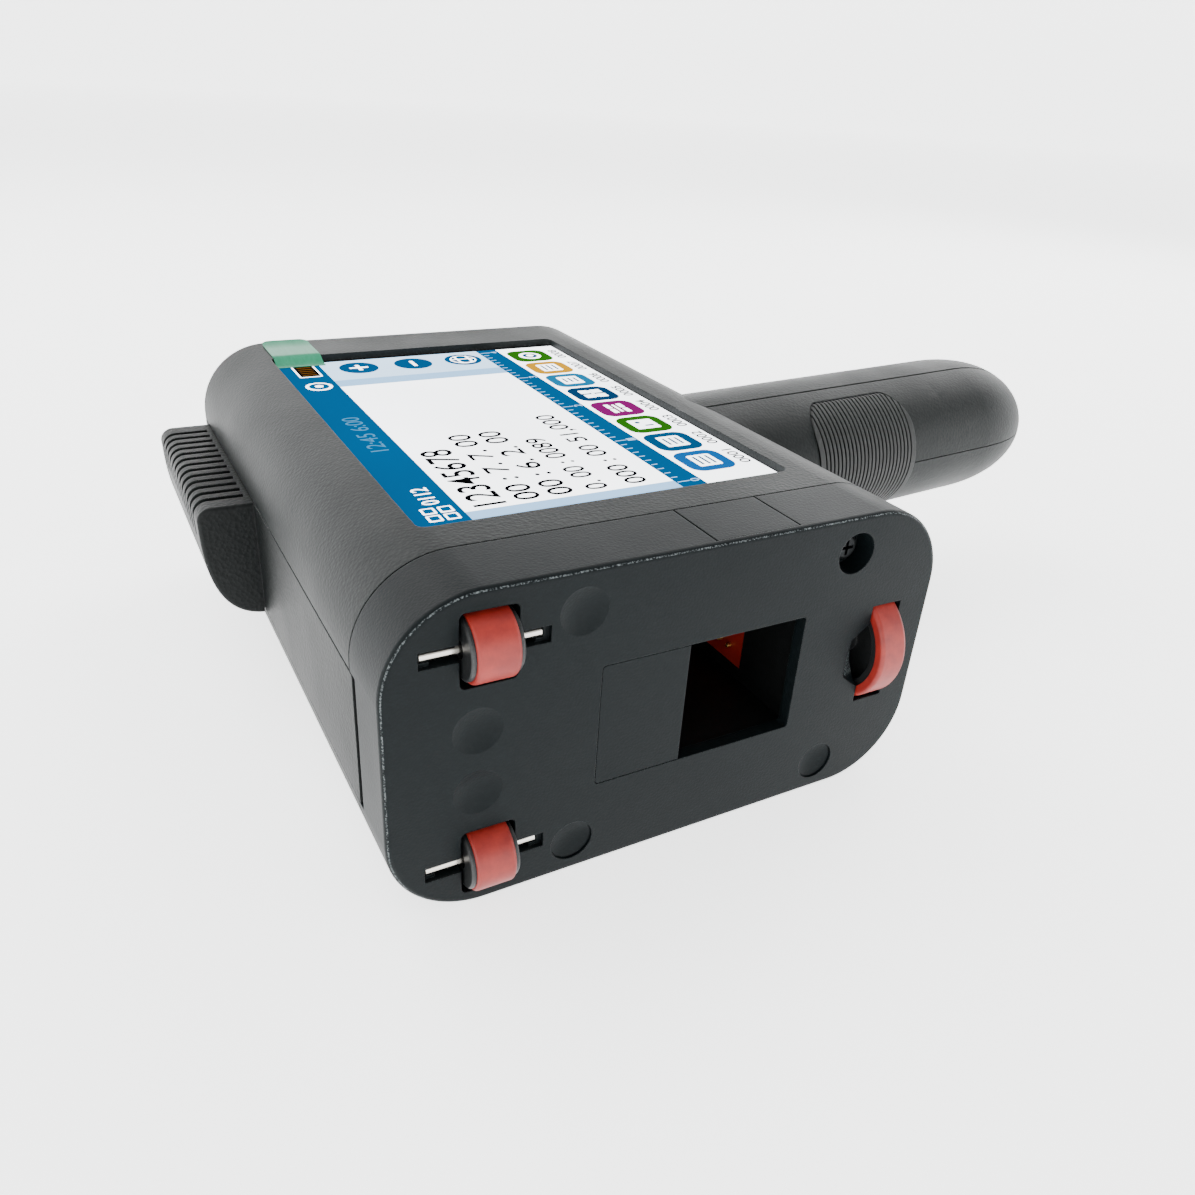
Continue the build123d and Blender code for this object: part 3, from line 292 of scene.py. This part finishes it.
glassLook = {"dark": "#050607", "light": "#0B0D0F", "cloud": 30.0, "rough": 0.05, "coat": 1.0}
sleeveLook = {"dark": "#173D8A", "light": "#2452AC", "cloud": 12.0, "rough": 0.28, "coat": 0.3}
polyimideLook = {"dark": "#A8702A", "light": "#C98F3F", "cloud": 5.0, "rough": 0.22, "coat": 0.2}
ferriteLook = dict(innerLook, dark="#2B2C2F", light="#3C3E42", rough=0.5, grain=0.2)

finishes = [
    (mouldedAbs("charcoalAbs", shellLook), ["upper_shell", "lower_shell"]),
    (mouldedAbs("charcoalAbsCap", capLook), ["front_cap"]),
    (mouldedAbs("charcoalAbsTrim", capTrimLook), ["release_tab", "window_blank", "screw_plugs"]),
    (mouldedAbs("charcoalAbsCover", coverLook), ["cartridge_cover"]),
    (mouldedAbs("blackAbs", innerLook), [
        "encoder_bracket", "cartridge_cradle", "pin_block", "dc_jack", "usb_tongue", "power_button",
        "power_switch", "trigger", "trigger_bracket", "trigger_switch", "battery_holder"]),
    (mouldedAbs("blackAcetal", hubLook), ["roller_hub_lower", "roller_hub_upper", "encoder_hub"]),
    (mouldedAbs("chipEpoxy", epoxyLook), ["board_chips", "buzzer"]),
    (mouldedAbs("sinteredFerrite", ferriteLook), ["encoder_magnet"]),
    (mouldedRubber("redSilicone", tyreLook), ["roller_tyre_lower", "roller_tyre_upper", "encoder_tyre"]),
    (mouldedRubber("gripRubber", gripLook), ["grip_pads"]),
    (workedMetal("groundSteel", steelLook), ["roller_pins", "encoder_axle", "dc_pin"]),
    (workedMetal("zincPlatedSteel", zincLook), ["shell_screws", "display_screws", "board_screws"]),
    (workedMetal("blackenedSteel", blackenedLook), ["cap_screws"]),
    (workedMetal("goldPlate", goldLook), ["contact_pins"]),
    (workedMetal("tinPlate", tinLook), ["usb_shell"]),
    (workedMetal("springWire", springLook), ["trigger_spring"]),
    (workedMetal("galvanisedSheet", sheetLook), ["display_carrier"]),
    (clearCoated("redSolderMask", redBoardLook), ["contact_board"]),
    (clearCoated("greenSolderMask", greenBoardLook), ["encoder_sensor", "main_board", "port_board"]),
    (clearCoated("coverGlass", glassLook), ["touch_glass"]),
    (clearCoated("batterySleeve", sleeveLook), ["battery_cells"]),
    (clearCoated("polyimide", polyimideLook), ["ribbon_cable"]),
    (litPixels("panelBacklight", "#DCE9F5", 0.3), ["lcd_panel"]),
    (tintedFilm("greenFilmNode", "#1F7F5C"), ["film_tab"]),
]
for material, names in finishes:
    for name in names:
        slots = nodes[name].data.materials
        slots.clear()
        slots.append(material)
print("finishes given to", sum(len(names) for _, names in finishes), "nodes")

# the picture on the screen, in plates stacked one thin layer over another
screenLow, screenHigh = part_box("touch_glass")
layerHeight = 0.04 * mm
screen = {
    "left": -45.5, "right": 39.5, "near": 26.5, "far": 145.4,
    "titleRight": -33.8, "rulerLeft": 14.2, "rulerRight": 20.5,
    "nearBandEnd": 33.6, "farBandStart": 121.4, "buttonBandStart": 127.0,
}
inks = {
    "white": litPixels("whitePixels", "#F8FBFF", 5.0),
    "paleBlue": litPixels("paleBluePixels", "#9CCBF7", 2.2),
    "softBlue": litPixels("softBluePixels", "#BEDDFA", 3.0),
    "titleBlue": litPixels("titleBluePixels", "#006EAE", 0.75),
    "buttonBlue": litPixels("buttonBluePixels", "#0068A6", 0.75),
    "faintBlue": litPixels("faintBluePixels", "#58A6DA", 1.0),
    "black": litPixels("blackPixels", "#0A0B0D", 0.02),
    "amber": litPixels("amberPixels", "#B8731A", 0.5),
    "periwinkle": litPixels("periwinklePixels", "#1670C6", 0.95),
    "deepBlue": litPixels("deepBluePixels", "#006098", 0.8),
    "green": litPixels("greenPixels", "#2F8212", 0.8),
    "magenta": litPixels("magentaPixels", "#98107A", 0.9),
    "navy": litPixels("navyPixels", "#064A80", 0.75),
    "sky": litPixels("skyPixels", "#0088C0", 1.0),
    "yellow": litPixels("yellowPixels", "#E5A40A", 1.3),
}


def finishPiece(piece, ink):
    piece.data.materials.clear()
    piece.data.materials.append(inks[ink])
    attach(piece, "housing")


# a rounded plate of the picture: across and along are its middle in mm from the axis and the print face
def pictureTile(across, along, width, length, corner, layer):
    bpy.ops.mesh.primitive_plane_add(size=1)
    tile = bpy.context.object
    tile.scale = (width * mm, length * mm, 1)
    tile.location = (across * mm, frontY + along * mm, screenHigh.z + layer * layerHeight)
    bpy.ops.object.transform_apply()
    bpy.ops.object.mode_set(mode="EDIT")
    bpy.ops.mesh.select_all(action="SELECT")
    if corner:
        bpy.ops.mesh.bevel(offset=corner * mm, segments=6, affect="VERTICES")
        bpy.ops.mesh.select_all(action="SELECT")
    bpy.ops.mesh.extrude_region_move(TRANSFORM_OT_translate={"value": (0, 0, -layerHeight)})
    bpy.ops.mesh.select_all(action="SELECT")
    bpy.ops.mesh.normals_make_consistent(inside=False)
    bpy.ops.object.mode_set(mode="OBJECT")
    return tile


# numbers read from the far end towards -X as the operator sees them, fitted between the given limits
def pictureText(body, base, top, start, end, layer, weight=0.004):
    bpy.ops.object.text_add()
    words = bpy.context.object
    words.data.body = body
    words.data.offset = weight
    words.data.extrude = 0.5
    bpy.ops.object.convert(target="MESH")
    words = bpy.context.object
    low = [min(v.co[i] for v in words.data.vertices) for i in (0, 1)]
    high = [max(v.co[i] for v in words.data.vertices) for i in (0, 1)]
    alongScale = (end - start) / (high[0] - low[0])
    acrossScale = (base - top) / (high[1] - low[1])
    for vertex in words.data.vertices:
        along, across, level = vertex.co
        vertex.co = ((base - (across - low[1]) * acrossScale) * mm,
                     frontY + (start + (along - low[0]) * alongScale) * mm,
                     screenHigh.z + (layer - 0.5 + level) * layerHeight)
    return words


def joinTiles(name, tiles, ink):
    bpy.ops.object.select_all(action="DESELECT")
    for tile in tiles:
        tile.select_set(True)
    bpy.context.view_layer.objects.active = tiles[0]
    if len(tiles) > 1:
        bpy.ops.object.join()
    piece = bpy.context.view_layer.objects.active
    piece.name = name
    finishPiece(piece, ink)
    bpy.ops.object.select_all(action="DESELECT")
    return piece


# a square-cornered plate between two limits each way
def spanTile(x, along, layer):
    return pictureTile((x[0] + x[1]) / 2, (along[0] + along[1]) / 2, x[1] - x[0], along[1] - along[0],
                       0, layer)


def makeBackdrops():
    s = screen
    joinTiles("screenCanvas", [spanTile((s["left"], s["right"]), (s["near"], s["far"]), 1)], "white")
    joinTiles("screenTitleBar", [spanTile((s["left"], s["titleRight"]), (s["near"], s["far"]), 2)], "titleBlue")
    rulerSpan = (s["rulerLeft"], s["rulerRight"])
    joinTiles("screenRuler", [spanTile(rulerSpan, (s["near"], s["far"]), 2)], "titleBlue")
    joinTiles("screenBands", [
        spanTile((s["titleRight"], s["rulerLeft"]), (s["near"], s["nearBandEnd"]), 2),
        spanTile((s["titleRight"], s["rulerLeft"]), (s["farBandStart"], s["buttonBandStart"]), 2),
    ], "paleBlue")
    joinTiles("screenButtonBand", [
        spanTile((s["titleRight"], s["rulerLeft"]), (s["buttonBandStart"], s["far"]), 2)], "softBlue")


titleBar = {
    "base": -36.6, "squaresAcross": (-40.3, -36.7), "squaresAlong": (32.8, 36.4),
    "square": 2.9, "squareHole": 1.9,
    "ring": (-38.8, 123.0), "ringSizes": (7.0, 5.2, 2.2),
    "battery": (-38.45, 137.75), "batterySize": (6.2, 11.5), "batteryLine": 0.5,
    "bars": (133.9, 135.7, 137.5, 139.3, 141.1),
}


def makeTitleBar():
    t = titleBar
    whites, blues = [], []
    for x in t["squaresAcross"]:
        for y in t["squaresAlong"]:
            whites.append(pictureTile(x, y, t["square"], t["square"], 0.3, 3))
            blues.append(pictureTile(x, y, t["squareHole"], t["squareHole"], 0.15, 4))
    whites.append(pictureText("0112", t["base"], -40.2, 39.4, 48.2, 3))
    numbers = [pictureText("12:45 6:00", t["base"], -40.8, 71.5, 96.0, 3, 0)]
    joinTiles("screenTitleNumbers", numbers, "faintBlue")
    outer, inner, dot = [pictureTile(*t["ring"], size, size, size / 2 - 0.01, layer)
                         for size, layer in zip(t["ringSizes"], (3, 4, 5))]
    whites += [outer, dot]
    blues.append(inner)
    x, y = t["battery"]
    width, length = t["batterySize"]
    whites += [pictureTile(x, y, width, length, 0.6, 3), pictureTile(x, 144.0, 2.8, 1.0, 0.2, 3)]
    joinTiles("screenTitleMarks", whites, "white")
    joinTiles("screenTitleCuts", blues, "titleBlue")
    line = t["batteryLine"]
    joinTiles("screenBattery", [pictureTile(x, y, width - 2 * line, length - 2 * line, 0.4, 4)], "black")
    bars = [pictureTile(x, bar, 3.8, 0.4, 0.1, 5) for bar in t["bars"]]
    joinTiles("screenBatteryBars", bars, "amber")


roundButtons = {"along": 137.5, "plus": -24.0, "minus": -8.2, "globe": 7.0, "size": 10.8,
                "sign": 5.2, "line": 1.1, "globeSize": 7.8, "globeLine": 0.5}


def makeButtons():
    b = roundButtons
    along, globe, whole, line = b["along"], b["globe"], b["globeSize"], b["globeLine"]
    inside = whole - 2 * line
    discs = [pictureTile(x, along, b["size"], b["size"], b["size"] / 2 - 0.01, 3)
             for x in (b["plus"], b["minus"], globe)]
    signs = [pictureTile(b["plus"], along, b["sign"], b["line"], 0.2, 4),
             pictureTile(b["plus"], along, b["line"], b["sign"], 0.2, 4),
             pictureTile(b["minus"], along, b["line"], b["sign"], 0.2, 4),
             pictureTile(globe, along, whole, whole, whole / 2 - 0.01, 4),
             pictureTile(globe, along, 3.8, whole, 1.89, 6)]
    gaps = [pictureTile(globe, along, inside, inside, inside / 2 - 0.01, 5),
            pictureTile(globe, along, 2.8, inside, 1.39, 7)]
    bars = [pictureTile(globe, along, inside, line, 0, 8)]
    bars += [pictureTile(globe + x, along, line, 6.2, 0, 8) for x in (-1.9, 1.9)]
    joinTiles("screenButtonDiscs", discs, "buttonBlue")
    joinTiles("screenButtonSigns", signs, "white")
    joinTiles("screenButtonGaps", gaps, "buttonBlue")
    joinTiles("screenButtonBars", bars, "white")


# each line's characters, base, top and far end
numberLines = {"start": 35.2, "rows": [
    ("12345678", -24.1, -31.3, 68.0),
    ("00 : 7. 7. 00", -16.3, -21.8, 76.0),
    ("00 : 6. 2. 00", -8.7, -14.3, 76.0),
    ("0. 00 : 0089", -0.6, -5.6, 68.0),
    ("000 : 00 51,000", 9.8, 4.0, 83.0),
]}


def makeNumberLines():
    lines = [pictureText(body, base, top, numberLines["start"], end, 3)
             for body, base, top, end in numberLines["rows"]]
    joinTiles("screenNumberLines", lines, "black")


ruler = {"first": 32.5, "pitch": 2.75, "count": 41, "long": 3.0, "short": 1.6, "line": 0.3,
         "numbers": 5, "numberPitch": 27.5, "numberFirst": 31.8, "numberBase": 20.1, "numberTop": 17.9}


def makeRulerTicks():
    ticks = []
    for number in range(ruler["count"]):
        reach = ruler["long"] if number % 10 == 0 else ruler["short"]
        across = screen["rulerLeft"] + 0.4 + reach / 2
        along = ruler["first"] + ruler["pitch"] * number
        ticks.append(pictureTile(across, along, reach, ruler["line"], 0, 3))
    for number in range(ruler["numbers"]):
        start = ruler["numberFirst"] + ruler["numberPitch"] * number
        ticks.append(pictureText(str(number), ruler["numberBase"], ruler["numberTop"], start, start + 1.5, 3))
    joinTiles("screenRulerTicks", ticks, "paleBlue")


iconColumn = {"across": 27.9, "first": 42.0, "pitch": 13.43, "size": 12.0, "corner": 3.2,
              "labelBase": 38.4, "labelTop": 35.6, "labelReach": 4.4}


# each icon is a rounded square with a white sign made from a few small plates
def makeIcons():
    c = iconColumn
    colours = ["periwinkle", "deepBlue", "green", "magenta", "navy", "sky", "yellow", "green"]
    white, cut = [], []
    for number, ink in enumerate(colours):
        x, y = c["across"], c["first"] + number * c["pitch"]
        joinTiles(f"screenIcon{number + 1}", [pictureTile(x, y, c["size"], c["size"], c["corner"], 3)], ink)
        if number in (0, 1, 5, 6):
            white.append(pictureTile(x, y, 6.2, 6.8, 0.6, 4))
            lineLength = 4.8 - 0.6 * (number % 3)
            cut += [pictureTile(x + shift, y, 0.6, lineLength, 0, 5) for shift in (-1.7, 0, 1.7)]
        elif number == 2:
            white.append(pictureTile(x, y, 6.6, 6.6, 0.5, 4))
            cut += [pictureTile(x + 0.9, y - 1.2, 2.4, 0.7, 0.2, 5),
                    pictureTile(x - 1.2, y + 1.3, 1.3, 1.3, 0.6, 5)]
        elif number == 7:
            white.append(pictureTile(x, y, 6.8, 6.8, 3.39, 4))
            cut.append(pictureTile(x, y, 4.4, 4.4, 2.19, 5))
            white.append(pictureTile(x, y, 2.2, 2.2, 1.09, 6))
        else:
            step = 1.85
            width, length = (2.7, 2.7) if number == 4 else (1.4, 3.1)
            white += [pictureTile(x + i * step, y + j * step, width, length, 0.25, 4)
                      for i in (-1, 1) for j in (-1, 1)]
            white.append(pictureTile(x, y, 0.7, 5.8, 0, 4))
    joinTiles("screenIconSigns", white, "white")
    joinTiles("screenIconLines", cut, "deepBlue")
    labels = []
    for number in range(len(colours)):
        middleAlong = c["first"] + number * c["pitch"]
        labels.append(pictureText(f"{number + 1:04d}", c["labelBase"], c["labelTop"],
                                  middleAlong - c["labelReach"], middleAlong + c["labelReach"], 3))
    joinTiles("screenIconLabels", labels, "black")


makeBackdrops()
makeTitleBar()
makeButtons()
makeNumberLines()
makeRulerTicks()
makeIcons()
print("screen picture made")

# the film's green pull-tab
tabShape = {
    "thickness": 0.16, "corner": 2.4, "cornerSteps": 5, "rows": 28,
    "stepStart": 143.6, "stepEnd": 148.6, "glassLayer": 6, "shellGap": 0.06,
    "lift": 0.5, "liftLength": 7.0, "smoothAngle": 40,
}


def makeFilmTab():
    low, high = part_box("film_tab")
    width = high.x - low.x
    length = high.y - low.y
    bpy.ops.mesh.primitive_plane_add(size=1)
    tab = bpy.context.object
    tab.name = "filmTab"
    tab.scale = (width, length, 1)
    tab.location = ((low.x + high.x) / 2, (low.y + high.y) / 2, low.z)
    bpy.ops.object.transform_apply()
    bpy.ops.object.mode_set(mode="EDIT")
    bpy.ops.mesh.select_all(action="DESELECT")
    bpy.ops.object.mode_set(mode="OBJECT")
    for vertex in tab.data.vertices:
        vertex.select = vertex.co.y > low.y + length / 2
    bpy.ops.object.mode_set(mode="EDIT")
    bpy.ops.mesh.bevel(offset=tabShape["corner"] * mm, segments=tabShape["cornerSteps"], affect="VERTICES")
    for row in range(1, tabShape["rows"]):
        bpy.ops.mesh.select_all(action="SELECT")
        bpy.ops.mesh.bisect(plane_co=(0, low.y + length * row / tabShape["rows"], 0), plane_no=(0, 1, 0))
    bpy.ops.object.mode_set(mode="OBJECT")
    # it lies on the glass, climbs the step in a soft S, lies on the shell and lifts a little at its end
    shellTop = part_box("upper_shell")[1].z
    stepStart, stepEnd = frontY + tabShape["stepStart"] * mm, frontY + tabShape["stepEnd"] * mm
    glassLevel = screenHigh.z + tabShape["glassLayer"] * layerHeight
    shellLevel = shellTop + tabShape["shellGap"] * mm
    liftLength = tabShape["liftLength"] * mm
    for vertex in tab.data.vertices:
        rise = min(1.0, max(0.0, (vertex.co.y - stepStart) / (stepEnd - stepStart)))
        rise = rise * rise * (3 - 2 * rise)
        curl = max(0.0, (vertex.co.y - high.y + liftLength) / liftLength)
        vertex.co.z = glassLevel + (shellLevel - glassLevel) * rise + tabShape["lift"] * mm * curl ** 2
    thick = tab.modifiers.new("thickness", "SOLIDIFY")
    thick.thickness = tabShape["thickness"] * mm
    thick.offset = 1.0
    bpy.ops.object.modifier_apply(modifier=thick.name)
    bpy.ops.object.mode_set(mode="EDIT")
    bpy.ops.mesh.select_all(action="SELECT")
    bpy.ops.mesh.normals_make_consistent(inside=False)
    bpy.ops.object.mode_set(mode="OBJECT")
    bpy.ops.object.shade_smooth_by_angle(angle=math.radians(tabShape["smoothAngle"]))
    tab.data.materials.append(tintedFilm("greenPolyester", "#187050"))
    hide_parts("film_tab")
    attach(tab, "housing")
    bpy.ops.object.select_all(action="DESELECT")


makeFilmTab()
print("film tab made")

# floor, lights and world
studio = {"floor": "#F7F8F8", "floorLight": "#FFFFFF", "floorGlow": 2.4, "cloud": 60.0, "reach": 4.0,
          "rise": 0.35, "steps": 6, "world": 0.9}
lights = {
    "keyLight": {"place": (-0.35, 0.55, 0.85), "size": (0.9, 0.7), "power": 9.0},
    "fillLight": {"place": (-0.7, -0.75, 0.5), "size": (0.8, 0.8), "power": 0.6},
    "rimLight": {"place": (0.8, 0.35, 0.7), "size": (0.6, 0.9), "power": 7.0},
}


# a round sheet whose edge sweeps up all round, so that no horizon shows
def paperFloor():
    material, tree, surface, place = startMaterial("paperSweep")
    fibre = addNode(tree, "ShaderNodeTexNoise", inputs={
        "Scale": perMillimetre(studio["cloud"]), "Detail": 3.0}, links={"Vector": place})
    colour = addNode(tree, "ShaderNodeMix", {"data_type": "RGBA"}, {
        6: linearColour(studio["floor"]), 7: linearColour(studio["floorLight"])}, {0: fibre.outputs["Fac"]})
    tree.links.new(colour.outputs[2], surface.inputs["Base Color"])
    surface.inputs["Roughness"].default_value = 0.85
    surface.inputs["Emission Color"].default_value = linearColour(studio["floor"])
    surface.inputs["Emission Strength"].default_value = studio["floorGlow"]
    bpy.ops.mesh.primitive_circle_add(vertices=96, radius=studio["reach"], fill_type="NGON",
                                      location=(0, 0, cadLow.z))
    floor = bpy.context.object
    bpy.ops.object.mode_set(mode="EDIT")
    bpy.ops.mesh.select_all(action="SELECT")
    bpy.ops.mesh.region_to_loop()
    for step in range(studio["steps"]):
        lean = math.radians(90 / studio["steps"] * (step + 0.5))
        bpy.ops.mesh.extrude_region_move(
            TRANSFORM_OT_translate={"value": (0, 0, studio["rise"] * math.sin(lean))})
        widen = 1 + studio["rise"] * math.cos(lean) / studio["reach"]
        bpy.ops.transform.resize(value=(widen, widen, 1))
    bpy.ops.mesh.extrude_region_move(TRANSFORM_OT_translate={"value": (0, 0, 2 * studio["rise"])})
    bpy.ops.mesh.select_all(action="SELECT")
    bpy.ops.mesh.normals_make_consistent(inside=True)
    bpy.ops.object.mode_set(mode="OBJECT")
    bpy.ops.object.shade_smooth()
    floor.name = "floor"
    floor.data.materials.append(material)
    bpy.ops.object.select_all(action="DESELECT")


def softLight(name, aim):
    look = lights[name]
    data = bpy.data.lights.new(name, "AREA")
    data.shape = "RECTANGLE"
    data.size, data.size_y = look["size"]
    data.energy = look["power"]
    light = bpy.data.objects.new(name, data)
    bpy.context.scene.collection.objects.link(light)
    light.location = look["place"]
    light.rotation_euler = (Vector(aim) - Vector(look["place"])).to_track_quat("-Z", "Y").to_euler()


paperFloor()
middle = (cadLow + cadHigh) / 2
for name in lights:
    softLight(name, middle)
world = bpy.data.worlds.new("studio")
bpy.context.scene.world = world
world.use_nodes = True
sky = world.node_tree.nodes["Background"]
sky.inputs["Color"].default_value = linearColour("#FFFFFF")
sky.inputs["Strength"].default_value = studio["world"]
print("studio set")
